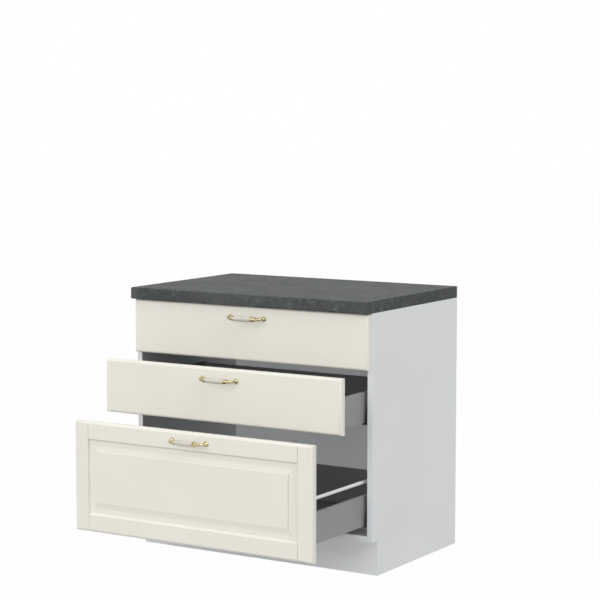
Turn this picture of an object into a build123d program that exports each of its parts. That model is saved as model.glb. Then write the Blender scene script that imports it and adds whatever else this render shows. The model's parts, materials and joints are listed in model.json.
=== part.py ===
from build123d import *
import math
import os
from dataclasses import dataclass

# A kitchen base cabinet with three drawers, in millimetres.
# x runs across the cabinet, y from the room (-) to the wall (+), z up from the floor.
# The origin is on the floor, midway across and midway between the wall and the bottom handle.

# ------------------------------------------------------------------ carcass
cabinet_width = 900
carcass_height = 832
carcass_depth = 565
board = 18
plinth_height = 112
toe_space = 35
top_rail_width = 100
back_sheet = 3.5
rebate_depth = 4
rebate_width = 9

# ------------------------------------------------------------------ worktop
worktop_depth = 600
worktop_thickness = 38
worktop_edge_radius = 4

# ------------------------------------------------------------------ drawer fronts
front_width = 892
front_thickness = 19
front_clearance = 2
front_gap = 4
lowest_front_edge = 115
deep_front_height = 356
shallow_front_height = 175
edge_roundover = 9

# the framed front of the bottom drawer, with depths measured from its face
frame_flat = 55
rail_bevel_width = 6
rail_bevel_depth = 6
groove_from = 7
groove_width = 6
groove_depth = 8
tongue_play = 1
joint_groove = 1.4
panel_margin = 23
panel_slope = 17
panel_slope_rise = 3.2
panel_step = 2.4

# ------------------------------------------------------------------ drawer boxes
drawer_length = 500
bottom_side_rise = 46
middle_side_height = 487.5
top_side_height = 666.5
side_gap = 13
side_profile_width = 14
side_height = 96
side_top_radius = 2
sheet = 1.2
base_flange_height = 12
base_flange_width = 12
drawer_board = 16
rear_tab_width = 20
rear_tab_low = 32
rear_tab_high = 88
bracket_high = 82
bracket_length = 32
low_back_height = 91
tall_back_height = 143

# ------------------------------------------------------------------ runners
# heights of the three members are measured from the lower edge of the drawer side
rail_sheet = 1.5
rail_length = 500
rail_setback = 2
rail_plate_low = -6
rail_plate_high = 38
rail_head_width = 5
rail_head_low = 14
rail_head_high = 26
slide_length = 490
slide_setback = 7
slide_wall = 1.2
channel_length = 490
channel_setback = 7
running_gap = 0.4
tongue_slot = 2.9
travel_ratio = 0.5

# ------------------------------------------------------------------ gallery rails
gallery_radius = 5.5
gallery_wall = 1
gallery_height = 138
socket_radius = 8
socket_length = 18
socket_floor = 4
post_top = 146

# ------------------------------------------------------------------ handles
handle_spacing = 128
slab_handle_drop = 36
framed_handle_drop = 30
grip_standoff = 28
grip_length = 64
grip_end_radius = 7.5
grip_radius = 9
spigot_radius = 2.5
spigot_length = 20
foot_radius = 8.5
foot_rim = 2
foot_height = 8
arm_radius_at_foot = 4
arm_radius_at_collar = 5.5
collar_length = 12
collar_bead = 9
collar_neck_radius = 7.8
dome_bulge = 0.71
arm_sections = (0, 22.5, 45, 67.5, 90)

# ------------------------------------------------------------------ fasteners
# along a board, setbacks are measured from its edge
board_cam_setback = 50
board_dowel_setback = 82
rail_cam_setback = 35
rail_dowel_setback = 67
plinth_dowel_heights = (30, 82)
nail_heights = (160, 340, 520, 700)
bottom_nail_xs = (-300, -100, 100, 300)
rail_nail_xs = (-250, 0, 250)
runner_screw_setbacks = (35, 163, 419)
tab_screw_heights = (45, 75)
bracket_screw_heights = (44, 70)
dowel_radius = 4
dowel_in_side = 12
dowel_in_board = 18
cam_radius = 7.5
cam_height = 13.5
cam_distance = 34
cam_bolt_radius = 3
cam_channel_radius = 3.5
cam_thread_radius = 2.5
cam_thread_length = 11
screw_radius = 2
screw_head_radius = 3.8
screw_head_height = 2
drawer_screw_length = 14
nail_radius = 0.8
nail_length = 16
nail_head_radius = 3
nail_head_height = 0.5
runner_screw_radius = 2.5
runner_screw_length = 11
runner_screw_head_radius = 4.5
runner_screw_head_height = 1.5
runner_screw_height = 20
worktop_screw_length = 32
worktop_screw_x = 330
handle_screw_head_radius = 4.5
handle_screw_head_height = 3
handle_hole_radius = 2.5
thread_depth = 7
hole_play = 0.5

# ------------------------------------------------------------------ how far the drawers stand open
pulled_out = {"top": 0, "middle": 160, "bottom": 326}

# ------------------------------------------------------------------ places that follow from these
handle_projection = grip_standoff + grip_radius
overall_depth = (
    carcass_depth + front_clearance + pulled_out["bottom"] + front_thickness + handle_projection
)
wall_y = overall_depth / 2
carcass_front = wall_y - carcass_depth
plinth_front = carcass_front + toe_space
board_back = wall_y - rebate_depth
half_width = cabinet_width / 2
inner_half = half_width - board
side_outer_x = inner_half - side_gap
side_inner_x = side_outer_x - side_profile_width
hollow_inner_x = side_inner_x + sheet
hollow_outer_x = side_outer_x - sheet
hollow_x = (hollow_inner_x + hollow_outer_x) / 2
half_spacing = handle_spacing / 2
half_grip = grip_length / 2


@dataclass
class Drawer:
    """One drawer: the lower edges of its front and metal sides, and how far it stands open."""

    name: str
    front_low: float
    front_height: float
    side_low: float
    back_height: float
    handle_drop: float

    @property
    def travel(self):
        return pulled_out[self.name]

    @property
    def front_top(self):
        return self.front_low + self.front_height

    @property
    def front_back(self):
        """y of the rear face of the front."""
        return carcass_front - front_clearance - self.travel

    @property
    def front_face(self):
        return self.front_back - front_thickness

    @property
    def box_end(self):
        """y of the rear end of the metal sides."""
        return self.front_back + drawer_length

    @property
    def handle_z(self):
        return self.front_top - self.handle_drop


bottom = Drawer(
    "bottom",
    lowest_front_edge,
    deep_front_height,
    lowest_front_edge + bottom_side_rise,
    tall_back_height,
    framed_handle_drop,
)
middle = Drawer(
    "middle",
    bottom.front_top + front_gap,
    shallow_front_height,
    middle_side_height,
    low_back_height,
    slab_handle_drop,
)
top = Drawer(
    "top",
    middle.front_top + front_gap,
    shallow_front_height,
    top_side_height,
    low_back_height,
    slab_handle_drop,
)
drawers = [top, middle, bottom]


# ------------------------------------------------------------------ drawing helpers
def across(y):
    """The upright plane that faces the room at the depth y; its sketches are drawn in x and z."""
    return Plane.XZ.offset(-y)


def along(x):
    """The upright plane that faces +x at x; its sketches are drawn in y and z."""
    return Plane.YZ.offset(x)


def rectangle(low, high, mode=Mode.ADD):
    """Add a rectangle to the open sketch, given by two opposite corners."""
    with Locations(((low[0] + high[0]) / 2, (low[1] + high[1]) / 2)):
        Rectangle(high[0] - low[0], high[1] - low[1], mode=mode)


def save(builder, name):
    builder.part.label = name
    export_step(builder.part, f"parts/{name}.step")


def pins(plane, places, radius, length, mode=Mode.ADD):
    """Round pins or holes that start on a plane and run along its normal."""
    with BuildSketch(plane, mode=Mode.PRIVATE) as circles:
        with Locations(*places):
            Circle(radius)
    extrude(circles.sketch, amount=length, mode=mode)


os.makedirs("parts", exist_ok=True)

# ------------------------------------------------------------------ places of the carcass fasteners
bottom_axis_z = plinth_height + board / 2
top_axis_z = carcass_height - board / 2
bottom_cams = [
    (carcass_front + board_cam_setback, bottom_axis_z),
    (board_back - board_cam_setback, bottom_axis_z),
]
bottom_dowels = [
    (carcass_front + board_dowel_setback, bottom_axis_z),
    (board_back - board_dowel_setback, bottom_axis_z),
]
rail_starts = {"front": carcass_front, "rear": board_back - top_rail_width}
rail_cams = {side: (start + rail_cam_setback, top_axis_z) for side, start in rail_starts.items()}
rail_dowels = {side: (start + rail_dowel_setback, top_axis_z) for side, start in rail_starts.items()}
plinth_dowels = [(plinth_front + board / 2, z) for z in plinth_dowel_heights]
cam_places = bottom_cams + list(rail_cams.values())
dowel_places = bottom_dowels + list(rail_dowels.values()) + plinth_dowels

nail_side_x = inner_half + rebate_width / 2
side_nails = [(nail_side_x, z) for z in nail_heights]
bottom_nails = [(x, bottom_axis_z) for x in bottom_nail_xs]
rail_nails = [(x, top_axis_z) for x in rail_nail_xs]
mirrored_side_nails = [(-x, z) for x, z in side_nails]
nail_places = side_nails + mirrored_side_nails + bottom_nails + rail_nails

rail_front = carcass_front + rail_setback
runner_screw_ys = [rail_front + setback for setback in runner_screw_setbacks]
runner_screw_places = [(y, d.side_low + runner_screw_height) for d in drawers for y in runner_screw_ys]
worktop_screw_places = [
    (x, start + top_rail_width / 2)
    for x in (-worktop_screw_x, worktop_screw_x)
    for start in rail_starts.values()
]

# ------------------------------------------------------------------ worktop
with BuildPart() as worktop:
    with BuildSketch(Plane.XY.offset(carcass_height)):
        rectangle((-half_width, wall_y - worktop_depth), (half_width, wall_y))
    extrude(amount=worktop_thickness)
    front_edges = worktop.faces().sort_by(Axis.Y)[0].edges().filter_by(Axis.X)
    fillet(front_edges, radius=worktop_edge_radius)
    screw_reach = worktop_screw_length - board + hole_play
    pins(Plane.XY.offset(carcass_height), worktop_screw_places, screw_radius, screw_reach, Mode.SUBTRACT)
save(worktop, "worktop")

# ------------------------------------------------------------------ side panels
with BuildPart() as side_panel_right:
    with BuildSketch(along(inner_half)):
        with BuildLine():
            Polyline(
                (plinth_front, 0),
                (wall_y, 0),
                (wall_y, carcass_height),
                (carcass_front, carcass_height),
                (carcass_front, plinth_height),
                (plinth_front, plinth_height),
                close=True,
            )
        make_face()
    extrude(amount=board)
    # rebate for the back sheet, above the plinth
    with BuildSketch(along(inner_half)):
        rectangle((board_back, plinth_height), (wall_y, carcass_height))
    extrude(amount=rebate_width, mode=Mode.SUBTRACT)
    # drillings
    pins(along(inner_half), dowel_places, dowel_radius, dowel_in_side + hole_play, Mode.SUBTRACT)
    pins(along(inner_half), cam_places, cam_thread_radius, cam_thread_length + hole_play, Mode.SUBTRACT)
    screw_hole = runner_screw_length + hole_play
    pins(along(inner_half), runner_screw_places, runner_screw_radius, screw_hole, Mode.SUBTRACT)
    pins(across(board_back), side_nails, nail_radius, nail_length, Mode.SUBTRACT)
save(side_panel_right, "side_panel_right")

with BuildPart() as side_panel_left:
    mirror(side_panel_right.part, about=Plane.YZ)
save(side_panel_left, "side_panel_left")


# ------------------------------------------------------------------ boards between the sides
def drill_board_ends(cams, dowels):
    """Dowel holes, cam bolt holes and cam pockets at both ends of the open board."""
    axis_z = cams[0][1]
    for side in (-1, 1):
        end = Plane(origin=(side * inner_half, 0, 0), x_dir=(0, side, 0), z_dir=(side, 0, 0))
        cam_points = [(side * y, z) for y, z in cams]
        dowel_points = [(side * y, z) for y, z in dowels]
        pins(end, cam_points, cam_channel_radius, -cam_distance, Mode.SUBTRACT)
        pins(end, dowel_points, dowel_radius, -dowel_in_board - hole_play, Mode.SUBTRACT)
    pockets = [(side * (inner_half - cam_distance), y) for side in (-1, 1) for y, z in cams]
    pins(Plane.XY.offset(axis_z - board / 2), pockets, cam_radius, cam_height, Mode.SUBTRACT)


with BuildPart() as bottom_panel:
    with BuildSketch(Plane.XY.offset(plinth_height)):
        rectangle((-inner_half, carcass_front), (inner_half, board_back))
    extrude(amount=board)
    drill_board_ends(bottom_cams, bottom_dowels)
    pins(across(board_back), bottom_nails, nail_radius, nail_length, Mode.SUBTRACT)
save(bottom_panel, "bottom_panel")

for side, start in rail_starts.items():
    with BuildPart() as top_rail:
        with BuildSketch(Plane.XY.offset(carcass_height - board)):
            rectangle((-inner_half, start), (inner_half, start + top_rail_width))
        extrude(amount=board)
        drill_board_ends([rail_cams[side]], [rail_dowels[side]])
        screws_here = [(x, y) for x, y in worktop_screw_places if start < y < start + top_rail_width]
        pins(Plane.XY.offset(carcass_height - board), screws_here, screw_radius, board, Mode.SUBTRACT)
        if side == "rear":
            pins(across(board_back), rail_nails, nail_radius, nail_length, Mode.SUBTRACT)
    save(top_rail, f"top_rail_{side}")

with BuildPart() as plinth_panel:
    with BuildSketch():
        rectangle((-inner_half, plinth_front), (inner_half, plinth_front + board))
    extrude(amount=plinth_height)
    for side in (-1, 1):
        end = Plane(origin=(side * inner_half, 0, 0), x_dir=(0, side, 0), z_dir=(side, 0, 0))
        points = [(side * y, z) for y, z in plinth_dowels]
        pins(end, points, dowel_radius, -dowel_in_board - hole_play, Mode.SUBTRACT)
save(plinth_panel, "plinth_panel")

with BuildPart() as back_panel:
    sheet_half = inner_half + rebate_width
    with BuildSketch(across(board_back + back_sheet)):
        rectangle((-sheet_half, plinth_height), (sheet_half, carcass_height))
    extrude(amount=back_sheet)
    pins(across(board_back + back_sheet), nail_places, nail_radius, back_sheet, Mode.SUBTRACT)
save(back_panel, "back_panel")

# ------------------------------------------------------------------ carcass fasteners
with BuildPart() as carcass_dowels:
    pins(along(inner_half - dowel_in_board), dowel_places, dowel_radius, dowel_in_board + dowel_in_side)
    mirror(about=Plane.YZ)
save(carcass_dowels, "carcass_dowels")

with BuildPart() as cam_bolts:
    pins(along(inner_half - cam_distance), cam_places, cam_bolt_radius, cam_distance)
    pins(along(inner_half), cam_places, cam_thread_radius, cam_thread_length)
    mirror(about=Plane.YZ)
save(cam_bolts, "cam_bolts")

with BuildPart() as cam_locks:
    for y, z in cam_places:
        with BuildSketch(Plane.XY.offset(z - board / 2)):
            with Locations((inner_half - cam_distance, y)):
                Circle(cam_radius)
        extrude(amount=cam_height)
    # the channel that grips the bolt
    grip_start = inner_half - cam_distance - cam_bolt_radius
    grip_reach = cam_radius + cam_bolt_radius + hole_play
    pins(along(grip_start), cam_places, cam_channel_radius, grip_reach, Mode.SUBTRACT)
    mirror(about=Plane.YZ)
save(cam_locks, "cam_locks")

with BuildPart() as worktop_screws:
    rail_underside = carcass_height - board
    pins(Plane.XY.offset(rail_underside), worktop_screw_places, screw_radius, worktop_screw_length)
    head_plane = Plane.XY.offset(rail_underside - screw_head_height)
    pins(head_plane, worktop_screw_places, screw_head_radius, screw_head_height)
save(worktop_screws, "worktop_screws")

with BuildPart() as back_panel_nails:
    sheet_face = board_back + back_sheet
    pins(across(sheet_face), nail_places, nail_radius, nail_length)
    pins(across(sheet_face + nail_head_height), nail_places, nail_head_radius, nail_head_height)
save(back_panel_nails, "back_panel_nails")

with BuildPart() as runner_screws:
    shank_start = inner_half - rail_sheet
    shank = rail_sheet + runner_screw_length
    pins(along(shank_start), runner_screw_places, runner_screw_radius, shank)
    head_plane = along(shank_start - runner_screw_head_height)
    pins(head_plane, runner_screw_places, runner_screw_head_radius, runner_screw_head_height)
    mirror(about=Plane.YZ)
save(runner_screws, "runner_screws")


# ------------------------------------------------------------------ telescoping runners
def channel_section(half_inside, low, high, wall):
    """A C-shaped channel round the rail head, open below for the rail's tongue."""
    rectangle((hollow_x - half_inside - wall, low - wall), (hollow_x + half_inside + wall, high + wall))
    rectangle((hollow_x - half_inside, low), (hollow_x + half_inside, high), Mode.SUBTRACT)
    half_slot = tongue_slot / 2
    rectangle((hollow_x - half_slot, low - wall), (hollow_x + half_slot, low), Mode.SUBTRACT)


half_head = rail_head_width / 2
half_slide_inside = half_head + running_gap
half_channel_inside = half_slide_inside + slide_wall + running_gap
channel_wall = (hollow_outer_x - hollow_inner_x) / 2 - half_channel_inside

for d in drawers:
    # fixed member: a plate on the side panel, a leg under the drawer side and a headed tongue inside it
    with BuildPart() as runner_rails:
        with BuildSketch(across(rail_front + rail_length)):
            half_tongue = rail_sheet / 2
            plate_x = inner_half - rail_sheet
            leg_z = d.side_low + rail_plate_low
            head_low = d.side_low + rail_head_low
            rectangle((plate_x, leg_z), (inner_half, d.side_low + rail_plate_high))
            rectangle((hollow_x - half_tongue, leg_z), (inner_half, leg_z + rail_sheet))
            rectangle((hollow_x - half_tongue, leg_z), (hollow_x + half_tongue, head_low))
            rectangle((hollow_x - half_head, head_low), (hollow_x + half_head, d.side_low + rail_head_high))
        extrude(amount=rail_length)
        holes = [(y, d.side_low + runner_screw_height) for y in runner_screw_ys]
        pins(along(plate_x), holes, runner_screw_radius, rail_sheet, Mode.SUBTRACT)
        mirror(about=Plane.YZ)
    save(runner_rails, f"runner_rails_{d.name}")

    # telescoping member: travels half as far as the drawer
    slide_front = carcass_front + slide_setback - d.travel * travel_ratio
    with BuildPart() as runner_slides:
        with BuildSketch(across(slide_front + slide_length)):
            slide_low = d.side_low + rail_head_low - running_gap
            slide_high = d.side_low + rail_head_high + running_gap
            channel_section(half_slide_inside, slide_low, slide_high, slide_wall)
        extrude(amount=slide_length)
        mirror(about=Plane.YZ)
    save(runner_slides, f"runner_slides_{d.name}")

    # drawer member: held between the two walls of the metal side
    channel_front = d.front_back + channel_setback
    with BuildPart() as runner_channels:
        with BuildSketch(across(channel_front + channel_length)):
            channel_low = slide_low - slide_wall - running_gap
            channel_high = slide_high + slide_wall + running_gap
            channel_section(half_channel_inside, channel_low, channel_high, channel_wall)
        extrude(amount=channel_length)
        mirror(about=Plane.YZ)
    save(runner_channels, f"runner_channels_{d.name}")


# ------------------------------------------------------------------ drawer boxes
for d in drawers:
    low = d.side_low
    board_end = d.box_end - sheet
    tab_screws = [(hollow_inner_x - sheet - rear_tab_width / 2, low + z) for z in tab_screw_heights]
    bracket_screws = [(hollow_x, low + z) for z in bracket_screw_heights]

    with BuildPart() as drawer_side_right:
        with BuildSketch(across(d.box_end)):
            rectangle((side_inner_x, low), (side_outer_x, low + side_height))
            rectangle((hollow_inner_x, low), (hollow_outer_x, low + side_height - sheet), Mode.SUBTRACT)
            flange_top = low + base_flange_height
            rectangle((side_inner_x - base_flange_width, flange_top - sheet), (side_inner_x, flange_top))
        extrude(amount=drawer_length)
        top_edges = drawer_side_right.edges().filter_by(Axis.Y).group_by(Axis.Z)[-1]
        fillet(top_edges, radius=side_top_radius)
        # tab behind the back board
        with BuildSketch(across(d.box_end)):
            tab_corner = (side_inner_x - rear_tab_width, low + rear_tab_low)
            rectangle(tab_corner, (side_inner_x, low + rear_tab_high))
        extrude(amount=sheet)
        pins(across(d.box_end), tab_screws, screw_radius, sheet, Mode.SUBTRACT)
    save(drawer_side_right, f"drawer_side_right_{d.name}")

    with BuildPart() as drawer_side_left:
        mirror(drawer_side_right.part, about=Plane.YZ)
    save(drawer_side_left, f"drawer_side_left_{d.name}")

    with BuildPart() as drawer_base:
        with BuildSketch(Plane.XY.offset(low + base_flange_height)):
            rectangle((-side_inner_x, d.front_back), (side_inner_x, board_end))
        extrude(amount=drawer_board)
    save(drawer_base, f"drawer_base_{d.name}")

    with BuildPart() as drawer_back:
        base_top = low + base_flange_height + drawer_board
        with BuildSketch(across(board_end)):
            rectangle((-side_inner_x, base_top), (side_inner_x, low + d.back_height))
        extrude(amount=drawer_board)
        both_sides = tab_screws + [(-x, z) for x, z in tab_screws]
        pins(across(board_end), both_sides, screw_radius, drawer_board - sheet, Mode.SUBTRACT)
    save(drawer_back, f"drawer_back_{d.name}")

    with BuildPart() as front_brackets:
        # plate on the rear of the front
        with BuildSketch(across(d.front_back + rail_sheet)):
            rectangle((hollow_inner_x, low + rear_tab_low), (hollow_outer_x, low + bracket_high))
        extrude(amount=rail_sheet)
        # tongue along the side's inner wall
        with BuildSketch(across(d.front_back + bracket_length)):
            tongue_corner = (hollow_inner_x + rail_sheet, low + bracket_high)
            rectangle((hollow_inner_x, low + rear_tab_low), tongue_corner)
        extrude(amount=bracket_length)
        pins(across(d.front_back + rail_sheet), bracket_screws, screw_radius, rail_sheet, Mode.SUBTRACT)
        mirror(about=Plane.YZ)
    save(front_brackets, f"front_brackets_{d.name}")

    with BuildPart() as drawer_screws:
        pins(across(d.box_end), tab_screws, screw_radius, drawer_screw_length)
        pins(across(d.box_end + screw_head_height), tab_screws, screw_head_radius, screw_head_height)
        plate_face = d.front_back + rail_sheet
        pins(across(plate_face), bracket_screws, screw_radius, drawer_screw_length)
        pins(across(plate_face + screw_head_height), bracket_screws, screw_head_radius, screw_head_height)
        mirror(about=Plane.YZ)
    save(drawer_screws, f"drawer_screws_{d.name}")

# ------------------------------------------------------------------ gallery rails of the bottom drawer
gallery_z = bottom.side_low + gallery_height
post_front = bottom.box_end - sheet - drawer_board
rail_ends = (bottom.front_back + socket_floor, post_front + socket_length - socket_floor)
rail_point = [(hollow_x, gallery_z)]

with BuildPart() as gallery_rails:
    reach = rail_ends[1] - rail_ends[0]
    pins(across(rail_ends[1]), rail_point, gallery_radius, reach)
    pins(across(rail_ends[1]), rail_point, gallery_radius - gallery_wall, reach, Mode.SUBTRACT)
    mirror(about=Plane.YZ)
save(gallery_rails, "gallery_rails")

with BuildPart() as rail_sockets:
    socket_end = bottom.front_back + socket_length
    pins(across(socket_end), rail_point, socket_radius, socket_length)
    pins(across(socket_end), rail_point, gallery_radius, socket_length - socket_floor, Mode.SUBTRACT)
    socket_rim = rail_sockets.faces().sort_by(Axis.Y)[-1].edges().sort_by(SortBy.RADIUS)[-1]
    chamfer(socket_rim, length=1)
    mirror(about=Plane.YZ)
save(rail_sockets, "rail_sockets")

with BuildPart() as rail_posts:
    with BuildSketch(across(bottom.box_end)):
        post_low = bottom.side_low + side_height
        rectangle((side_inner_x, post_low), (side_outer_x, bottom.side_low + post_top))
    extrude(amount=drawer_board + sheet)
    fillet(rail_posts.edges().filter_by(Axis.Y).group_by(Axis.Z)[-1], radius=3)
    bore = rail_ends[1] - post_front
    pins(across(rail_ends[1]), rail_point, gallery_radius, bore, Mode.SUBTRACT)
    mirror(about=Plane.YZ)
save(rail_posts, "rail_posts")


# ------------------------------------------------------------------ fronts
half_front = front_width / 2


def drill_front(d):
    """Through holes for the handle and blind holes for the brackets in the open front."""
    handle_holes = [(-half_spacing, d.handle_z), (half_spacing, d.handle_z)]
    pins(across(d.front_back), handle_holes, handle_hole_radius, front_thickness, Mode.SUBTRACT)
    bracket_holes = [(side * hollow_x, d.side_low + z) for side in (-1, 1) for z in bracket_screw_heights]
    depth = drawer_screw_length - rail_sheet + hole_play
    pins(across(d.front_back), bracket_holes, screw_radius, depth, Mode.SUBTRACT)


for d in (top, middle):
    with BuildPart() as slab_front:
        with BuildSketch(across(d.front_back)):
            rectangle((-half_front, d.front_low), (half_front, d.front_top))
        extrude(amount=front_thickness)
        fillet(slab_front.faces().sort_by(Axis.Y)[0].edges(), radius=edge_roundover)
        drill_front(d)
    save(slab_front, f"front_{d.name}")

# the opening of the framed front, from the flats of its stiles and rails
opening_x = half_front - frame_flat
flat_low = bottom.front_low + frame_flat
flat_high = bottom.front_top - frame_flat
sill = flat_low + rail_bevel_width
head = flat_high - rail_bevel_width
tongue_x = opening_x + groove_depth
face = bottom.front_face
groove_end = face + groove_from + groove_width
rail_extents = {"top": (head, bottom.front_top), "bottom": (bottom.front_low, sill)}


def opening_outline(spread, low=sill, high=head, mode=Mode.ADD):
    """The outline of the opening, moved outwards by the spread."""
    rectangle((-opening_x - spread, low - spread), (opening_x + spread, high + spread), mode)


# the frame as one board, before it is parted into stiles and rails
with BuildPart() as frame:
    with BuildSketch(across(bottom.front_back)):
        rectangle((-half_front, bottom.front_low), (half_front, bottom.front_top))
        opening_outline(0, mode=Mode.SUBTRACT)
    extrude(amount=front_thickness)
    fillet(frame.faces().sort_by(Axis.Y)[0].outer_wire().edges(), radius=edge_roundover)
    # bevels along the rails
    with BuildSketch(across(face + rail_bevel_depth)):
        opening_outline(0)
    with BuildSketch(across(face)):
        opening_outline(0, flat_low, flat_high)
    loft(mode=Mode.SUBTRACT)
    # groove for the panel
    with BuildSketch(across(groove_end)):
        opening_outline(groove_depth)
    extrude(amount=groove_width, mode=Mode.SUBTRACT)
    # V lines down the inner edges of the stiles, across the ends of the rails
    with BuildSketch(Plane.XY.offset(bottom.front_low)):
        for side in (-1, 1):
            with BuildLine():
                Polyline(
                    (side * (opening_x - joint_groove), face),
                    (side * opening_x, face + joint_groove),
                    (side * (opening_x + joint_groove), face),
                    close=True,
                )
            make_face()
    extrude(amount=deep_front_height, mode=Mode.SUBTRACT)
    drill_front(bottom)

# a stile runs the full height; the tongues of the rails sit in its groove
with BuildPart() as front_stile_right:
    add(frame.part)
    with BuildPart(mode=Mode.INTERSECT):
        with BuildSketch(across(bottom.front_back)):
            rectangle((opening_x, bottom.front_low), (half_front, bottom.front_top))
        extrude(amount=front_thickness)
        with BuildSketch(across(groove_end)):
            for low, high in rail_extents.values():
                rectangle((opening_x, low), (tongue_x, high))
        extrude(amount=groove_width, mode=Mode.SUBTRACT)
save(front_stile_right, "front_stile_right")

with BuildPart() as front_stile_left:
    mirror(front_stile_right.part, about=Plane.YZ)
save(front_stile_left, "front_stile_left")

for name, (low, high) in rail_extents.items():
    with BuildPart() as front_rail:
        add(frame.part)
        with BuildPart(mode=Mode.INTERSECT):
            with BuildSketch(across(bottom.front_back)):
                rectangle((-opening_x, low), (opening_x, high))
            extrude(amount=front_thickness)
            with BuildSketch(across(groove_end)):
                rectangle((-tongue_x, low), (tongue_x, high))
            extrude(amount=groove_width)
    save(front_rail, f"front_rail_{name}")

# the fielded panel, loose in the groove of the frame
with BuildPart() as front_panel:
    with BuildSketch(across(groove_end)):
        opening_outline(groove_depth - tongue_play)
    extrude(amount=groove_width)
    slope_foot = face + groove_from
    slope_top = slope_foot - panel_slope_rise
    with BuildSketch(across(slope_foot)):
        opening_outline(-panel_margin, flat_low, flat_high)
    with BuildSketch(across(slope_top)):
        opening_outline(-panel_margin - panel_slope, flat_low, flat_high)
    loft()
    with BuildSketch(across(slope_top)):
        opening_outline(-panel_margin - panel_slope, flat_low, flat_high)
    extrude(amount=panel_step)
save(front_panel, "front_panel")

# ------------------------------------------------------------------ handles
collar_start = half_grip + collar_length
bend_radius = half_spacing - collar_start

for d in drawers:
    grip_y = d.front_face - grip_standoff
    foot_top = d.front_face - foot_height
    rim_top = d.front_face - foot_rim
    handle_plane = Plane.XY.offset(d.handle_z)
    grip_axis = Axis((0, grip_y, d.handle_z), (1, 0, 0))
    foot_axis = Axis((half_spacing, d.front_face, d.handle_z), (0, 1, 0))
    feet = [(half_spacing, d.handle_z)]

    with BuildPart() as handle_arms:
        # foot: a flat rim under a dome
        with BuildSketch(handle_plane):
            with BuildLine():
                dome_width = foot_radius - arm_radius_at_foot
                dome_foot = (half_spacing + foot_radius, rim_top)
                dome_middle = (
                    half_spacing + arm_radius_at_foot + dome_width * dome_bulge,
                    rim_top - (foot_height - foot_rim) * dome_bulge,
                )
                dome_top = (half_spacing + arm_radius_at_foot, foot_top)
                Polyline(dome_top, (half_spacing, foot_top), (half_spacing, d.front_face))
                Polyline((half_spacing, d.front_face), (half_spacing + foot_radius, d.front_face), dome_foot)
                ThreePointArc(dome_foot, dome_middle, dome_top)
            make_face()
        revolve(axis=foot_axis)
        # arm: a quarter turn that swells towards the grip
        for turn in arm_sections:
            angle = math.radians(turn)
            centre = (
                collar_start + bend_radius * math.cos(angle),
                foot_top - bend_radius * math.sin(angle),
                d.handle_z,
            )
            heading = (-math.sin(angle), -math.cos(angle), 0)
            swell = (arm_radius_at_collar - arm_radius_at_foot) * turn / arm_sections[-1]
            with BuildSketch(Plane(origin=centre, x_dir=(0, 0, 1), z_dir=heading)):
                Circle(arm_radius_at_foot + swell)
        loft()
        # collar: a flare and a bead against the grip
        with BuildSketch(handle_plane):
            with BuildLine():
                flare_end = (half_grip + collar_bead, grip_y - collar_neck_radius)
                flare_start = (collar_start, grip_y - arm_radius_at_collar)
                bead_end = (half_grip, grip_y - collar_neck_radius)
                Polyline(bead_end, (half_grip, grip_y), (collar_start, grip_y), flare_start)
                ThreePointArc(flare_end, (half_grip + collar_bead / 2, grip_y - grip_radius), bead_end)
                TangentArc(flare_start, flare_end, tangent=(-1, 0))
            make_face()
        revolve(axis=grip_axis)
        # spigot in the grip, and the blind thread in the foot
        pins(along(half_grip - spigot_length), [(grip_y, d.handle_z)], spigot_radius, spigot_length)
        pins(across(d.front_face), feet, screw_radius, thread_depth, Mode.SUBTRACT)
        mirror(about=Plane.YZ)
    save(handle_arms, f"handle_arms_{d.name}")

    with BuildPart() as handle_grip:
        with BuildSketch(handle_plane):
            with BuildLine():
                left_end = (-half_grip, grip_y - grip_end_radius)
                right_end = (half_grip, grip_y - grip_end_radius)
                ThreePointArc(left_end, (0, grip_y - grip_radius), right_end)
                Polyline(
                    right_end,
                    (half_grip, grip_y - spigot_radius),
                    (-half_grip, grip_y - spigot_radius),
                    left_end,
                )
            make_face()
        revolve(axis=grip_axis)
    save(handle_grip, f"handle_grip_{d.name}")

    with BuildPart() as handle_screws:
        pins(across(d.front_back), feet, screw_radius, front_thickness + thread_depth)
        head_plane = across(d.front_back + handle_screw_head_height)
        pins(head_plane, feet, handle_screw_head_radius, handle_screw_head_height)
        mirror(about=Plane.YZ)
    save(handle_screws, f"handle_screws_{d.name}")
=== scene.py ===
import json
import math

import bmesh
import bpy
from mathutils import Matrix, Vector


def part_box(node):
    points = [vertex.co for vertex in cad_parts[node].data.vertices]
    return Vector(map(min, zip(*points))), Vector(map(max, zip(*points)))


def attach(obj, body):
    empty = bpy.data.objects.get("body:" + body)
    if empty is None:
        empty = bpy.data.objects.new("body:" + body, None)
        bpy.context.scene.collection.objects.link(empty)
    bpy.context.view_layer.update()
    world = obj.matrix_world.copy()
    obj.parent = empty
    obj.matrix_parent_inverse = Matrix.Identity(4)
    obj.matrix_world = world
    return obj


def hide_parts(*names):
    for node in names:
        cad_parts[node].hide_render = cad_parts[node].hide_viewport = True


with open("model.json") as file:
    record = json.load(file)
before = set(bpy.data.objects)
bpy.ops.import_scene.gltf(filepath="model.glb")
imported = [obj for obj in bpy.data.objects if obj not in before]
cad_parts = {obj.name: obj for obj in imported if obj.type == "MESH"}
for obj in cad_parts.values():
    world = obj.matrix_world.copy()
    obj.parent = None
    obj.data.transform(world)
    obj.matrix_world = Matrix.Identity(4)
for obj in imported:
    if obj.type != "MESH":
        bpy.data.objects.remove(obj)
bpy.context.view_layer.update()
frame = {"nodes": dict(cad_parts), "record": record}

# a base cabinet with three drawers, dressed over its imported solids
DRAWERS = ("top", "middle", "bottom")
SIDES = {"left": -1, "right": 1}
mm = 0.001


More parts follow.
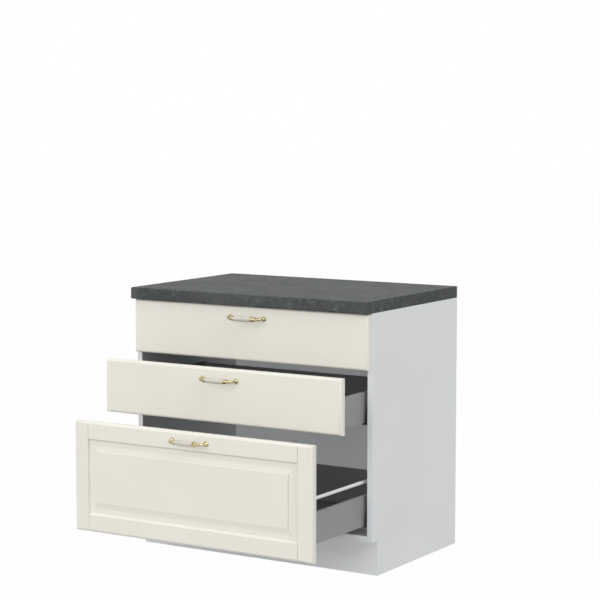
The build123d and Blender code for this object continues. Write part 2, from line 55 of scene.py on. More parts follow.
# ---------------------------------------------------------------- shader expressions
def linear(red, green, blue):
    """The linear colour of a display colour written in 0-255."""
    def channel(value):
        value /= 255
        return value / 12.92 if value <= 0.04045 else ((value + 0.055) / 1.055) ** 2.4
    return (channel(red), channel(green), channel(blue), 1.0)


class Wire:
    """The output of a shader node, used in ordinary arithmetic."""

    def __init__(self, graph, socket):
        self.graph = graph
        self.socket = socket

    def maths(self, operation, other):
        return self.graph.node("ShaderNodeMath", {"operation": operation}, {0: self, 1: other})

    def __add__(self, other):
        return self.maths("ADD", other)

    def __mul__(self, other):
        return self.maths("MULTIPLY", other)

    __radd__ = __add__
    __rmul__ = __mul__

    def span(self, low, high):
        """0 at low and below, 1 at high and above, eased between them."""
        settings = {"clamp": True, "interpolation_type": "SMOOTHSTEP"}
        values = {"Value": self, "From Min": low, "From Max": high}
        return self.graph.node("ShaderNodeMapRange", settings, values)


class Graph:
    """The nodes of a material or of the surround."""

    def __init__(self, owner):
        owner.use_nodes = True
        self.tree = owner.node_tree

    def feed(self, socket, value):
        """Link the socket to a wire, or set it to a plain value."""
        if isinstance(value, Wire):
            self.tree.links.new(value.socket, socket)
        else:
            socket.default_value = value

    def node(self, kind, settings=None, values=None, output=0):
        """The wire of a new node, which gets its settings first and then its sockets' values."""
        new = self.tree.nodes.new(kind)
        for name, setting in (settings or {}).items():
            setattr(new, name, setting)
        for name, value in (values or {}).items():
            self.feed(new.inputs[name], value)
        return Wire(self, new.outputs[output])

    def seen(self):
        """At least 1 for what the camera or a reflection sees, 0 for what lights the object."""
        rays = ("Is Camera Ray", "Is Glossy Ray", "Is Transmission Ray")
        camera, glossy, clear = (self.node("ShaderNodeLightPath", output=ray) for ray in rays)
        return camera + glossy + clear


class Finish(Graph):
    """A material under construction."""

    def __init__(self, name, **constants):
        self.material = bpy.data.materials.new(name)
        super().__init__(self.material)
        self.shader = self.tree.nodes["Principled BSDF"]
        self.set(**constants)

    def set(self, **values):
        """Give the main shader's sockets their values or wires, named with underscores."""
        for name, value in values.items():
            socket = name.replace("_", " ").title().replace("Ior", "IOR")
            self.feed(self.shader.inputs[socket], value)

    def place(self, stretch):
        """The object's own coordinates in metres, times the stretch along each axis."""
        coordinates = self.node("ShaderNodeTexCoord", output="Object")
        return self.node("ShaderNodeMapping", None, {"Vector": coordinates, "Scale": stretch})

    def noise(self, size, detail, roughness=0.5, stretch=(1, 1, 1), distortion=0.0):
        """Noise from 0 to 1, with blots of about the given size in metres."""
        values = {
            "Vector": self.place(stretch), "Scale": 1 / size, "Detail": detail,
            "Roughness": roughness, "Distortion": distortion,
        }
        return self.node("ShaderNodeTexNoise", {"noise_dimensions": "3D"}, values)

    def mix(self, amount, first, second):
        """A colour between the first and the second."""
        # the sockets go by number, because several of them share a name
        share, first_colour, second_colour, colour = 0, 6, 7, 2
        settings = {"data_type": "RGBA", "clamp_factor": True}
        values = {share: amount, first_colour: first, second_colour: second}
        return self.node("ShaderNodeMix", settings, values, output=colour)

    def bump(self, height, depth, strength):
        """Relief of the given depth in metres on the main shader."""
        values = {"Height": height, "Distance": depth, "Strength": strength}
        self.set(normal=self.node("ShaderNodeBump", None, values))


# ---------------------------------------------------------------- finishes
def slate_laminate():
    """Dark slate-look laminate: cloudy grey with fine grains and pale veiny flecks."""
    finish = Finish("slate_laminate", specular_ior_level=0.1)
    clouds = finish.noise(0.09, detail=5, roughness=0.6, distortion=0.4)
    grains = finish.noise(0.006, detail=3, roughness=0.7)
    flecks = finish.noise(0.022, detail=4, roughness=0.65, distortion=0.9).span(0.50, 0.78)
    ground = finish.mix(clouds.span(0.3, 0.7), linear(64, 67, 66), linear(78, 81, 80))
    ground = finish.mix(grains.span(0.35, 0.75) * 0.5, ground, linear(94, 96, 96))
    finish.set(base_color=finish.mix(flecks * 0.5, ground, linear(122, 129, 129)))
    finish.set(roughness=0.56 + 0.14 * grains)
    finish.bump(grains, depth=0.15 * mm, strength=0.5)
    return finish.material


def melamine(name, colour, shade, roughness):
    """Melamine-faced board: an even colour over a fine pearl texture."""
    finish = Finish(name, specular_ior_level=0.4)
    clouds = finish.noise(0.25, detail=2)
    pearl = finish.noise(0.0012, detail=2, roughness=0.6)
    finish.set(base_color=finish.mix(clouds.span(0.3, 0.7), colour, shade))
    finish.set(roughness=roughness + 0.08 * pearl)
    finish.bump(pearl, depth=0.03 * mm, strength=0.5)
    return finish.material


def cream_lacquer():
    """Sprayed satin lacquer: a trace of orange peel and of uneven film."""
    finish = Finish("cream_lacquer", specular_ior_level=0.35)
    film = finish.noise(0.35, detail=2)
    peel = finish.noise(0.0025, detail=1)
    pale, deep = linear(231, 228, 218), linear(229, 226, 216)
    finish.set(base_color=finish.mix(film.span(0.3, 0.7), pale, deep))
    finish.set(roughness=0.36 + 0.08 * film)
    finish.bump(peel, depth=0.02 * mm, strength=0.4)
    return finish.material


def powder_coat(name, colour, shade, roughness):
    """Powder coat on metal: finely pimpled and even in colour."""
    finish = Finish(name, specular_ior_level=0.5)
    clouds = finish.noise(0.12, detail=2)
    pimples = finish.noise(0.0010, detail=2, roughness=0.7)
    finish.set(base_color=finish.mix(clouds.span(0.3, 0.7), colour, shade))
    finish.set(roughness=roughness + 0.12 * pimples)
    finish.bump(pimples, depth=0.03 * mm, strength=0.6)
    return finish.material


def plated_steel(name, colour, shade, stretch):
    """Zinc-plated steel: fine lines along the rolling direction, cloudy plating."""
    finish = Finish(name, metallic=1.0)
    clouds = finish.noise(0.03, detail=4, roughness=0.6)
    lines = finish.noise(0.0009, detail=2, stretch=stretch)
    finish.set(base_color=finish.mix(clouds.span(0.3, 0.7), colour, shade))
    finish.set(roughness=0.28 + 0.16 * lines + 0.08 * clouds)
    finish.bump(lines, depth=0.01 * mm, strength=0.5)
    return finish.material


def aged_brass():
    """Cast and turned brass, bright in places and darkened in patches."""
    finish = Finish("aged_brass", metallic=1.0)
    patina = finish.noise(0.008, detail=4, roughness=0.65)
    grain = finish.noise(0.0006, detail=2)
    tarnish = patina.span(0.4, 0.65)
    bright, dull = linear(208, 195, 152), linear(110, 102, 74)
    finish.set(base_color=finish.mix(tarnish * 0.8, bright, dull))
    finish.set(roughness=0.2 + 0.25 * tarnish + 0.06 * grain)
    finish.bump(grain, depth=0.01 * mm, strength=0.4)
    return finish.material


def porcelain():
    """White glazed porcelain: clear glaze over a faintly warm body."""
    finish = Finish("porcelain", specular_ior_level=0.3, coat_roughness=0.06, coat_ior=1.45)
    body = finish.noise(0.02, detail=2)
    ripple = finish.noise(0.006, detail=1)
    pale, warm = linear(206, 200, 191), linear(200, 194, 184)
    finish.set(base_color=finish.mix(body.span(0.3, 0.7), pale, warm))
    finish.set(roughness=0.16 + 0.06 * body)
    finish.set(coat_weight=0.3 + 0.15 * body)
    finish.bump(ripple, depth=0.02 * mm, strength=0.3)
    return finish.material


def moulded_plastic():
    """Moulded grey plastic with a fine spark-eroded skin."""
    finish = Finish("moulded_plastic", specular_ior_level=0.4)
    skin = finish.noise(0.0007, detail=2, roughness=0.7)
    clouds = finish.noise(0.02, detail=2)
    finish.set(base_color=finish.mix(clouds, linear(150, 151, 153), linear(158, 159, 161)))
    finish.set(roughness=0.5 + 0.12 * skin)
    finish.bump(skin, depth=0.03 * mm, strength=0.6)
    return finish.material


def turned_beech():
    """Plain beech with its grain along the dowel."""
    finish = Finish("turned_beech", specular_ior_level=0.3)
    grain = finish.noise(0.0015, detail=4, roughness=0.6, stretch=(0.12, 1, 1))
    pores = finish.noise(0.0005, detail=2, stretch=(0.1, 1, 1)).span(0.6, 0.8)
    ground = finish.mix(grain.span(0.3, 0.7), linear(214, 180, 138), linear(190, 150, 108))
    finish.set(base_color=finish.mix(pores * 0.6, ground, linear(140, 100, 66)))
    finish.set(roughness=0.55 + 0.15 * grain)
    finish.bump(grain, depth=0.05 * mm, strength=0.5)
    return finish.material


def hardboard():
    """Painted hardboard with a faint fibre texture."""
    finish = Finish("hardboard", specular_ior_level=0.3)
    fibres = finish.noise(0.003, detail=4, roughness=0.7, distortion=0.8)
    clouds = finish.noise(0.2, detail=2)
    pale, dull = linear(218, 219, 221), linear(212, 213, 215)
    finish.set(base_color=finish.mix(clouds.span(0.3, 0.7), pale, dull))
    finish.set(roughness=0.55 + 0.15 * fibres)
    finish.bump(fibres, depth=0.04 * mm, strength=0.4)
    return finish.material


# the runners are rolled along y, and the fasteners' plating has no direction
rolled, even = (1, 0.05, 1), (1, 1, 1)
finishes = {
    "worktop_laminate": slate_laminate(),
    "carcass_board": melamine(
        "carcass_board", linear(226, 228, 230), linear(223, 225, 227), roughness=0.42),
    "back_sheet": hardboard(),
    "front_lacquer": cream_lacquer(),
    "drawer_steel": powder_coat(
        "drawer_steel", linear(142, 142, 143), linear(138, 138, 139), roughness=0.4),
    "drawer_board": melamine(
        "drawer_board", linear(94, 95, 97), linear(90, 91, 93), roughness=0.45),
    "runner_steel": plated_steel(
        "runner_steel", linear(178, 180, 182), linear(160, 162, 164), rolled),
    "aged_brass": aged_brass(),
    "porcelain": porcelain(),
    "gallery_coat": powder_coat(
        "gallery_coat", linear(226, 227, 228), linear(222, 223, 224), roughness=0.32),
    "socket_plastic": moulded_plastic(),
    "beech_dowel": turned_beech(),
    "zinc_fastener": plated_steel(
        "zinc_fastener", linear(186, 187, 189), linear(166, 167, 168), even),
}
slots = {entry["node"]: entry["material_slot"] for entry in frame["record"]["subparts"]}
for node, part in frame["nodes"].items():
    part.data.materials.clear()
    part.data.materials.append(finishes[slots[node]])


# ---------------------------------------------------------------- shaping
# shapes are drawn in millimetres and become metres when they are finished
NEAR = 0.01
CUT_TOLERANCE = 0.0001
MERGE_DISTANCE = 0.001


def verts_of(geometry):
    return [item for item in geometry if isinstance(item, bmesh.types.BMVert)]


def everything(shape):
    return shape.verts[:] + shape.edges[:] + shape.faces[:]


def block(low, high):
    """A rectangular block between two opposite corners."""
    shape = bmesh.new()
    bmesh.ops.create_cube(shape, size=1)
    low, high = Vector(low), Vector(high)
    bmesh.ops.scale(shape, vec=high - low, verts=shape.verts)
    bmesh.ops.translate(shape, vec=(low + high) / 2, verts=shape.verts)
    return shape


def slab(outline, depth):
    """A flat outline of points in space, thickened by the depth."""
    shape = bmesh.new()
    face = shape.faces.new([shape.verts.new(point) for point in outline])
    grown = bmesh.ops.extrude_face_region(shape, geom=[face])["geom"]
    bmesh.ops.translate(shape, vec=depth, verts=verts_of(grown))
    return shape


def edges_at(shape, **places):
    """The edges whose two ends lie at the given coordinates."""
    def there(vert):
        return all(abs(getattr(vert.co, axis) - value) < NEAR for axis, value in places.items())
    return [edge for edge in shape.edges if all(there(vert) for vert in edge.verts)]


def faces_where(shape, test):
    """The faces whose centre and outward direction pass the test."""
    return [face for face in shape.faces if test(face.calc_center_median(), face.normal)]


def soften(shape, edges, radius, segments=2):
    """Round the edges over."""
    bmesh.ops.bevel(
        shape, geom=edges, offset=radius, offset_type="OFFSET", segments=segments,
        profile=0.5, affect="EDGES", clamp_overlap=True, material=-1,
    )


def plane_off(shape, point, outwards):
    """Cut away what lies beyond a plane, and close the cut."""
    cut = bmesh.ops.bisect_plane(
        shape, geom=everything(shape), plane_co=point, plane_no=outwards,
        clear_outer=True, dist=CUT_TOLERANCE,
    )
    rim = [item for item in cut["geom_cut"] if isinstance(item, bmesh.types.BMEdge)]
    bmesh.ops.holes_fill(shape, edges=rim, sides=0)


def score(shape, point, across):
    """Part the faces along a plane."""
    bmesh.ops.bisect_plane(
        shape, geom=everything(shape), plane_co=point, plane_no=across, dist=CUT_TOLERANCE,
    )


def push(shape, faces, offset):
    """Move the faces by the offset, with walls at their edges."""
    grown = bmesh.ops.extrude_face_region(shape, geom=faces)["geom"]
    bmesh.ops.translate(shape, vec=offset, verts=verts_of(grown))
    bmesh.ops.delete(shape, geom=faces, context="FACES")


def handed(shape, sign):
    """The right side's shape, turned over for the left side where the sign is -1."""
    bmesh.ops.scale(shape, vec=(sign, 1, 1), verts=shape.verts)
    return shape


def mirrored(shape):
    """The shape with its mirror image across the cabinet's middle."""
    bmesh.ops.mirror(
        shape, geom=everything(shape), matrix=Matrix.Identity(4), merge_dist=-1, axis="X",
    )
    return shape


def stance(centre, axis):
    """The place of a shape whose own z axis is turned to the given axis."""
    turn = Vector(axis).to_track_quat("Z", "Y").to_matrix().to_4x4()
    return Matrix.Translation(centre) @ turn


def turned(profile, sides, place=Matrix.Identity(4)):
    """A shape turned on a lathe from radii and heights along its own z axis."""
    shape = bmesh.new()
    verts = [shape.verts.new((radius, 0, height)) for radius, height in profile]
    edges = [shape.edges.new(pair) for pair in zip(verts, verts[1:])]
    bmesh.ops.spin(
        shape, geom=verts + edges, cent=(0, 0, 0), axis=(0, 0, 1),
        angle=math.tau, steps=sides, use_merge=True,
    )
    bmesh.ops.remove_doubles(shape, verts=shape.verts, dist=MERGE_DISTANCE)
    bmesh.ops.transform(shape, matrix=place, verts=shape.verts)
    return shape


def ringed(shape, rings, sides):
    """Rings joined one to the next, the first one capped. The last one's edges come back."""
    last = None
    for place, radius in rings:
        ring = bmesh.ops.create_circle(shape, segments=sides, radius=radius, matrix=place)
        verts = set(ring["verts"])
        edges = [edge for edge in shape.edges if verts.issuperset(edge.verts)]
        if last:
            bmesh.ops.bridge_loops(shape, edges=last + edges)
        else:
            bmesh.ops.contextual_create(shape, geom=edges)
        last = edges
    return last


def swept(rings, sides):
    """A round bar through rings, each given by its centre, heading and radius."""
    shape = bmesh.new()
    places = [(stance(centre, heading), radius) for centre, heading, radius in rings]
    bmesh.ops.contextual_create(shape, geom=ringed(shape, places, sides))
    return shape


def join(shape, other, places=(Matrix.Identity(4),)):
    """Add copies of the other shape at the places, and use it up."""
    pattern = bpy.data.meshes.new("pattern")
    other.to_mesh(pattern)
    other.free()
    for place in places:
        start = len(shape.verts)
        shape.from_mesh(pattern)
        bmesh.ops.transform(shape, matrix=place, verts=shape.verts[start:])
    bpy.data.meshes.remove(pattern)
    return shape


def finished(name, shape, body, slot, *nodes, smooth=35):
    """Make the shape a piece that rides on a body and stands for the nodes.

    Edges that turn by more than the smooth angle, in degrees, stay sharp.
    """
    bmesh.ops.recalc_face_normals(shape, faces=shape.faces)
    if shape.calc_volume(signed=True) < 0:
        bmesh.ops.reverse_faces(shape, faces=shape.faces)
    bmesh.ops.scale(shape, vec=(mm, mm, mm), verts=shape.verts)
    mesh = bpy.data.meshes.new(name)
    shape.to_mesh(mesh)
    shape.free()
    mesh.shade_smooth()
    mesh.set_sharp_from_angle(angle=math.radians(smooth))
    piece = bpy.data.objects.new(name, mesh)
    bpy.context.scene.collection.objects.link(piece)
    mesh.materials.append(finishes[slot])
    weighted = piece.modifiers.new("weighted", "WEIGHTED_NORMAL")
    weighted.keep_sharp = True
    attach(piece, body)
    if nodes:
        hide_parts(*nodes)


def corners(node):
    """A node's lowest and highest corners, in millimetres."""
    low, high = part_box(node)
    return Vector(low) / mm, Vector(high) / mm


# ---------------------------------------------------------------- worktop
low, high = corners("worktop")
edging_thickness = 0.8
nosing, nosing_cuts, arris = 4, 6, 0.5
board = block((low.x + edging_thickness, low.y, low.z), (high.x - edging_thickness, high.y, high.z))
edging = block((high.x - edging_thickness, low.y, low.z), high)
for shape in (board, edging):
    front_edges = edges_at(shape, y=low.y, z=low.z) + edges_at(shape, y=low.y, z=high.z)
    soften(shape, front_edges, nosing, nosing_cuts)
soften(edging, edges_at(edging, x=high.x), arris)
finished("worktop_slab", board, "cabinet", "worktop_laminate", "worktop")
finished("worktop_edging", mirrored(edging), "cabinet", "worktop_laminate")

# ---------------------------------------------------------------- side panels
# a board with a toe notch and a rebate for the back, and a band on its front edge
low, high = corners("side_panel_right")
plinth_low, plinth_high = corners("plinth_panel")
back_low, back_high = corners("back_panel")
toe, plinth_top = plinth_low.y, plinth_high.z
rebate = Vector((back_high.x, back_low.y, 0))
band, band_arris = 0.8, 0.4
outline = [
    (toe, low.z), (high.y, low.z), (high.y, high.z),
    (low.y + band, high.z), (low.y + band, plinth_top), (toe, plinth_top),
]


def rebate_lip(centre, normal):
    """The strip of the rear edge that the rebate sinks."""
    return centre.x < rebate.x and centre.y > high.y - NEAR and centre.z > plinth_top


def rebate_waste(centre, normal):
    """The strips of the inner face and the top that the sunk lip leaves standing."""
    on_inner_face = abs(centre.x - low.x) < NEAR
    on_top = centre.x < rebate.x and abs(centre.z - high.z) < NEAR
    return centre.y > rebate.y and centre.z > plinth_top and (on_inner_face or on_top)


for side, sign in SIDES.items():
    panel = slab([(low.x, y, z) for y, z in outline], (high.x - low.x, 0, 0))
    score(panel, rebate, (1, 0, 0))
    score(panel, rebate, (0, 1, 0))
    score(panel, (0, 0, plinth_top), (0, 0, 1))
    push(panel, faces_where(panel, rebate_lip), (0, rebate.y - high.y, 0))
    bmesh.ops.delete(panel, geom=faces_where(panel, rebate_waste), context="FACES")
    bmesh.ops.remove_doubles(panel, verts=panel.verts, dist=MERGE_DISTANCE)
    edge_band = block((low.x, low.y, plinth_top), (high.x, low.y + band, high.z))
    soften(edge_band, edges_at(edge_band, y=low.y), band_arris)
    panel, edge_band = handed(panel, sign), handed(edge_band, sign)
    finished(f"side_board_{side}", panel, "cabinet", "carcass_board", f"side_panel_{side}")
    finished(f"side_edging_{side}", edge_band, "cabinet", "carcass_board")

# ---------------------------------------------------------------- slab fronts
roundover, roundover_cuts, rear_arris = 9, 10, 0.5
for drawer in ("top", "middle"):
    low, high = corners(f"front_{drawer}")
    front = block(low, high)
    soften(front, edges_at(front, y=low.y), roundover, roundover_cuts)
    soften(front, edges_at(front, y=high.y), rear_arris)
    body = f"drawer_{drawer}"
    finished(f"slab_front_{drawer}", front, body, "front_lacquer", f"front_{drawer}")

# ---------------------------------------------------------------- framed front
# stiles with a V edge, rails with a bevel, and a fielded panel between them
stile_low, stile_high = corners("front_stile_right")
inner_x, show_y, rear_y = stile_low.x, stile_low.y, stile_high.y
groove_walls = (show_y + 7, show_y + 13)
groove_depth = 8
v_depth, v_steepness = 1.2, 2
slit_inset, slit_width, slit_depth = 0.7, 0.5, 2.5
bevel = 6
# a flat face's normal has its y below the first of these, a gentle slope's below the second
flat_out, slope_out = -0.99, -0.9


def groove_faces(rail, chosen):
    """The faces centred midway between the groove's walls that the test chooses."""
    middle = sum(groove_walls) / 2
    return faces_where(
        rail, lambda centre, normal: abs(centre.y - middle) < NEAR and chosen(centre))


for side, sign in SIDES.items():
    stile = block(stile_low, stile_high)
    outer = edges_at(stile, y=show_y, x=stile_high.x)
    for z in (stile_low.z, stile_high.z):
        outer += edges_at(stile, y=show_y, z=z)
    soften(stile, outer, roundover, roundover_cuts)
    plane_off(stile, (inner_x, show_y + v_depth, 0), (-v_steepness, -1, 0))
    slit_start = inner_x + slit_inset
    slit_end = slit_start + slit_width
    for x in (slit_start, slit_end):
        score(stile, (x, 0, 0), (1, 0, 0))
    slit = faces_where(
        stile, lambda centre, normal: slit_start < centre.x < slit_end and normal.y < flat_out)
    push(stile, slit, (0, slit_depth, 0))
    name, node = f"stile_{side}", f"front_stile_{side}"
    finished(name, handed(stile, sign), "drawer_bottom", "front_lacquer", node)

for name, up in (("top", 1), ("bottom", -1)):
    low, high = corners(f"front_rail_{name}")
    outer_z, inner_z = (high.z, low.z) if up > 0 else (low.z, high.z)
    rail = block((-inner_x, show_y, low.z), (inner_x, rear_y, high.z))
    soften(rail, edges_at(rail, y=show_y, z=outer_z), roundover, roundover_cuts)
    plane_off(rail, (0, show_y + bevel, inner_z), (0, -1, -up))
    for sign in SIDES.values():
        plane_off(rail, (sign * inner_x, show_y + v_depth, 0), (v_steepness * sign, -1, 0))
    for y in groove_walls:
        score(rail, (0, y, 0), (0, 1, 0))
    strip = groove_faces(rail, lambda centre: abs(centre.z - inner_z) < NEAR)
    push(rail, strip, (0, 0, up * groove_depth))
    # the groove's walls go on past the rail's ends, hidden inside the solid stiles
    for sign in SIDES.values():
        end_wall = groove_faces(rail, lambda centre: abs(centre.x - sign * inner_x) < NEAR)
        push(rail, end_wall, (sign * groove_depth, 0, 0))
    finished(f"rail_{name}", rail, "drawer_bottom", "front_lacquer", f"front_rail_{name}")

low, high = corners("front_panel")
margin, slope_width, slope_rise, step_width, step_rise = 23, 17, 2.8, 0.4, 1.6
quirk_width, quirk_depth = 0.9, 2.6
end_slope = 0.1
tongue = high.x - inner_x
panel = block((low.x, groove_walls[0], low.z), high)
field = faces_where(panel, lambda centre, normal: normal.y < flat_out)
insets = ((margin - bevel + tongue, 0), (slope_width, slope_rise), (step_width, step_rise))
for thickness, depth in insets:
    bmesh.ops.inset_region(
        panel, faces=field, thickness=thickness, depth=depth, use_even_offset=True)
# a fine quirk down each end of the field
quirk_start = inner_x + bevel - margin - slope_width
quirk_end = quirk_start + quirk_width
for sign in SIDES.values():
    score(panel, (sign * quirk_end, 0, 0), (1, 0, 0))
    quirk = faces_where(
        panel, lambda centre, normal: quirk_start < sign * centre.x < quirk_end
        and normal.y < slope_out and sign * normal.x > end_slope)
    push(panel, quirk, (0, quirk_depth, 0))
finished("fielded_panel", panel, "drawer_bottom", "front_lacquer", "front_panel", smooth=8)

# ---------------------------------------------------------------- handles
# radius and height above the front
foot_profile = [
    (8.5, 0), (8.5, 1.3), (8.2, 1.8), (7.7, 2.2), (7.7, 2.9),
    (7.3, 4.2), (6.6, 5.5), (5.6, 6.8), (4.7, 7.6),
]
# radius and distance from the grip's end
collar_profile = [
    (5.5, 11.6), (5.7, 11.2), (6.2, 10.8), (6.9, 10.4), (7.1, 9.9), (6.9, 9.4), (6.9, 8.9),
    (7.4, 8.4), (8.0, 7.2), (8.3, 5.4), (8.3, 3.2), (8.0, 1.5), (7.7, 0.5), (7.2, 0),
]
# radius and distance inwards from the grip's end
grip_rim = [(0, 0), (6.4, 0), (7.0, 0.3), (7.4, 0.9), (7.7, 2.0)]
grip_radius, grip_taper = 9, 1.3
grip_stations = range(28, -1, -4)
bend_radius, arm_radius, arm_swell, swell_power = 20, 3.0, 2.5, 1.2
arm_sides, grip_sides = 32, 48
for drawer in DRAWERS:
    arms_high = corners(f"handle_arms_{drawer}")[1]
    grip_low, grip_high = corners(f"handle_grip_{drawer}")
    middle, grip_end = (grip_low + grip_high) / 2, grip_high.x
    foot_x = arms_high.x - foot_profile[0][0]
    rings = [
        ((foot_x, arms_high.y - rise, middle.z), (0, -1, 0), radius)
        for radius, rise in foot_profile
    ]
    for degrees in range(0, 91, 6):
        along, out = math.cos(math.radians(degrees)), math.sin(math.radians(degrees))
        bend_x = foot_x - bend_radius + bend_radius * along
        bend_y = middle.y + bend_radius - bend_radius * out
        radius = arm_radius + arm_swell * (degrees / 90) ** swell_power
        rings.append(((bend_x, bend_y, middle.z), (-out, -along, 0), radius))
    rings += [
        ((grip_end + away, middle.y, middle.z), (-1, 0, 0), radius)
        for radius, away in collar_profile
    ]
    arms, body = mirrored(swept(rings, arm_sides)), f"drawer_{drawer}"
    finished(f"brass_arms_{drawer}", arms, body, "aged_brass", f"handle_arms_{drawer}")

    half = [(radius, grip_end - inwards) for radius, inwards in grip_rim]
    half += [(grip_radius - grip_taper * (x / grip_end) ** 2, x) for x in grip_stations]
    profile = half + [(radius, -x) for radius, x in half[-2::-1]]
    grip = turned(profile, grip_sides, stance((0, middle.y, middle.z), (1, 0, 0)))
    finished(f"porcelain_grip_{drawer}", grip, body, "porcelain", f"handle_grip_{drawer}")


# ---------------------------------------------------------------- screws, nails and cams
def cross_head(radius, crown, recess_depth, below=0):
    """A round head that stands on z = 0 or reaches below it, with a cross recess in its top."""
    shape = bmesh.new()
    dome = ((1.0, -below), (1.0, 0.45 * crown), (0.93, 0.78 * crown), (0.72, crown))
    places = [(Matrix.Translation((0, 0, height)), radius * share) for share, height in dome]
    rim = ringed(shape, places, sides=24)
    reach, half_width = radius * 0.52, radius * 0.17
    arm = [(reach, -half_width), (reach, half_width), (half_width, half_width)]
    cross = []
    for turn in range(4):
        spun = Matrix.Rotation(turn * math.tau / 4, 3, "Z")
        cross += [shape.verts.new(spun @ Vector((x, y, crown))) for x, y in arm]
    recess = shape.faces.new(cross)
    bmesh.ops.bridge_loops(shape, edges=rim + recess.edges[:])
    push(shape, [recess], (0, 0, -recess_depth))
    return shape


def screw(head_radius, crown, shank_radius, length):
    """A cross-head screw whose head sits on z = 0 and whose shank points down."""
    down = (0, 0, -1)
    recess_depth, shoulder, tip_radius = 0.75 * crown, 0.1 * crown, 0.2 * shank_radius
    tip_length = min(3 * shank_radius, length / 2)
    rings = [
        ((0, 0, shoulder), down, shank_radius),
        ((0, 0, tip_length - length), down, shank_radius),
        ((0, 0, -length), down, tip_radius),
    ]
    return join(cross_head(head_radius, crown, recess_depth), swept(rings, sides=12))


def fastened(name, body, node, pattern, places):
    finished(name, join(bmesh.new(), pattern, places), body, "zinc_fastener", node, smooth=50)


# up through the top rails into the worktop
worktop_screws_x = 330
rails = corners("top_rail_front"), corners("top_rail_rear")
places = [
    stance((sign * worktop_screws_x, (low.y + high.y) / 2, low.z), (0, 0, -1))
    for sign in SIDES.values() for low, high in rails
]
pattern = screw(head_radius=3.8, crown=2, shank_radius=2, length=32)
fastened("worktop_fixings", "cabinet", "worktop_screws", pattern, places)

# through the runners' fixed members into the side panels
rail_sheet, screw_row, setbacks = 1.5, 20, (35, 163, 419)
low, high = corners("runner_rails_top")
places = []
for sign in SIDES.values():
    for drawer in DRAWERS:
        x = sign * (high.x - rail_sheet)
        z = corners(f"drawer_side_left_{drawer}")[0].z + screw_row
        places += [stance((x, low.y + setback, z), (-sign, 0, 0)) for setback in setbacks]
pattern = screw(head_radius=4.5, crown=1.5, shank_radius=2.5, length=12.5)
fastened("runner_fixings", "cabinet", "runner_screws", pattern, places)

# through each drawer's brackets into its back and its front, and through the front into the handle
back_screws_x, back_screws_inset, back_screws_rise = 395, 2, (45, 75)
front_screws_x, front_screws_inset, front_screws_rise = 412, 14, (44, 70)
handle_screws_x, handle_screw_crown = 64, 3
for drawer in DRAWERS:
    body, node = f"drawer_{drawer}", f"drawer_screws_{drawer}"
    low, high = corners(node)
    side_foot = corners(f"drawer_side_right_{drawer}")[0].z
    back_y, front_y = high.y - back_screws_inset, low.y + front_screws_inset
    spots = [(back_screws_x, back_y, side_foot + rise) for rise in back_screws_rise]
    spots += [(front_screws_x, front_y, side_foot + rise) for rise in front_screws_rise]
    places = [stance((sign * x, y, z), (0, 1, 0)) for sign in SIDES.values() for x, y, z in spots]
    pattern = screw(head_radius=3.8, crown=2, shank_radius=2, length=14)
    fastened(f"drawer_fixings_{drawer}", body, node, pattern, places)

    node = f"handle_screws_{drawer}"
    low, high = corners(node)
    y, z = high.y - handle_screw_crown, (low.z + high.z) / 2
    places = [stance((sign * handle_screws_x, y, z), (0, 1, 0)) for sign in SIDES.values()]
    pattern = screw(head_radius=4.5, crown=handle_screw_crown, shank_radius=2, length=26)
    fastened(f"handle_fixings_{drawer}", body, node, pattern, places)

# round the rim of the back, with the nail's profile given by radius and height
nail_profile = [(0, 0.5), (1.6, 0.45), (2.6, 0.25), (3, 0), (0.8, 0), (0.8, -15), (0, -16)]
side_nails_x, side_nails_z = 436.5, (160, 340, 520, 700)
low_nails_x, low_nails_z = (-300, -100, 100, 300), 121
high_nails_x, high_nails_z = (-250, 0, 250), 823
spots = [(sign * side_nails_x, z) for sign in SIDES.values() for z in side_nails_z]
spots += [(x, low_nails_z) for x in low_nails_x] + [(x, high_nails_z) for x in high_nails_x]
places = [stance((x, back_high.y, z), (0, 1, 0)) for x, z in spots]
fastened("nail_row", "cabinet", "back_panel_nails", turned(nail_profile, sides=16), places)

# under the ends of the bottom panel and of the top rails
cams_x, cam_crown, panel_setback, rail_setback = 398, 0.8, 50, 35
low, high = corners("bottom_panel")
spots = [(low.y + panel_setback, low.z), (high.y - panel_setback, low.z)]
spots += [(low.y + rail_setback, low.z) for low, high in rails]
places = [
    stance((sign * cams_x, y, z + cam_crown), (0, 0, -1))
    for sign in SIDES.values() for y, z in spots
]
pattern = cross_head(radius=7.5, crown=cam_crown, recess_depth=4.5, below=12.7)
fastened("cam_housings", "cabinet", "cam_locks", pattern, places)


# ---------------------------------------------------------------- camera, floor and light
def camera(place, pitch, heading, lens):
    """A camera tilted up and turned by degrees, with its lens in millimetres."""
    eye = bpy.data.objects.new("camera", bpy.data.cameras.new("camera"))
    bpy.context.scene.collection.objects.link(eye)
    eye.location = place
    eye.rotation_euler = (math.radians(90 + pitch), 0, math.radians(heading))
    eye.data.sensor_width = 36
    eye.data.lens = lens
    eye.data.clip_end = 100
    bpy.context.scene.camera = eye


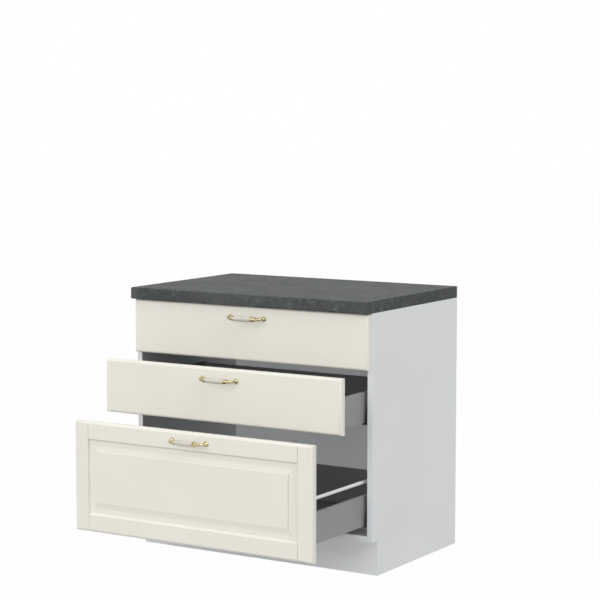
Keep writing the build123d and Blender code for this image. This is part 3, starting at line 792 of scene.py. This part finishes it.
def floor(shade, whiteness, reach):
    """A pale floor that is white to the eye and keeps the cabinet's faint shadow."""
    material = bpy.data.materials.new("floor")
    graph = Graph(material)
    glow = graph.node("ShaderNodeEmission", None, {"Color": (1, 1, 1, 1), "Strength": 1.0})
    paint = graph.node("ShaderNodeBsdfDiffuse", None, {"Color": (shade, shade, shade, 1)})
    # the two shader sockets go by number, because they share a name
    share, first_shader, second_shader = 0, 1, 2
    values = {share: graph.seen() * whiteness, first_shader: paint, second_shader: glow}
    surface = graph.tree.nodes["Material Output"].inputs["Surface"]
    graph.feed(surface, graph.node("ShaderNodeMixShader", None, values))
    sheet = bmesh.new()
    bmesh.ops.create_grid(sheet, x_segments=1, y_segments=1, size=reach)
    mesh = bpy.data.meshes.new("floor")
    sheet.to_mesh(mesh)
    sheet.free()
    mesh.materials.append(material)
    plane = bpy.data.objects.new("floor", mesh)
    bpy.context.scene.collection.objects.link(plane)


def sky(strength):
    """An even pale surround, pure white where the camera or a reflection sees it."""
    world = bpy.data.worlds.new("studio")
    graph = Graph(world)
    values = {"Value": graph.seen(), "To Min": strength, "To Max": 1.0}
    background = graph.tree.nodes["Background"]
    graph.feed(background.inputs["Color"], (1, 1, 1, 1))
    graph.feed(background.inputs["Strength"], graph.node("ShaderNodeMapRange", None, values))
    bpy.context.scene.world = world


def lamp(name, towards, share, spread, shadow=True, glossy=True):
    """A distant lamp: the way to it, its share of the light on what faces it, its spread."""
    light = bpy.data.lights.new(name, "SUN")
    light.energy = math.pi * share
    light.angle = math.radians(spread)
    light.use_shadow = shadow
    source = bpy.data.objects.new(name, light)
    source.rotation_euler = Vector(towards).to_track_quat("Z", "Y").to_euler()
    source.visible_glossy = glossy
    bpy.context.scene.collection.objects.link(source)


bpy.context.scene.view_settings.view_transform = "Standard"
# where the photograph was taken from, solved from the cabinet's straight edges
camera((3.4027, -5.2768, 1.4996), pitch=-5.988, heading=31.81, lens=116.9)
floor(shade=0.34, whiteness=0.985, reach=30)
sky(0.45)
lamp("right_light", (0.696, -0.123, 0.707), share=0.535, spread=40)
lamp("left_light", (-0.683, -0.683, 0.259), share=0.06, spread=40)
lamp("front_light", (0, -0.985, 0.174), share=0.23, spread=40)
lamp("high_light", (-0.25, -0.75, 0.61), share=0.07, spread=14)
lamp("fill_light", (-0.492, -0.853, 0.174), share=0.26, spread=5, shadow=False, glossy=False)
lamp("back_light", (-0.3, 0.95, 0.1), share=0.4, spread=40, glossy=False)
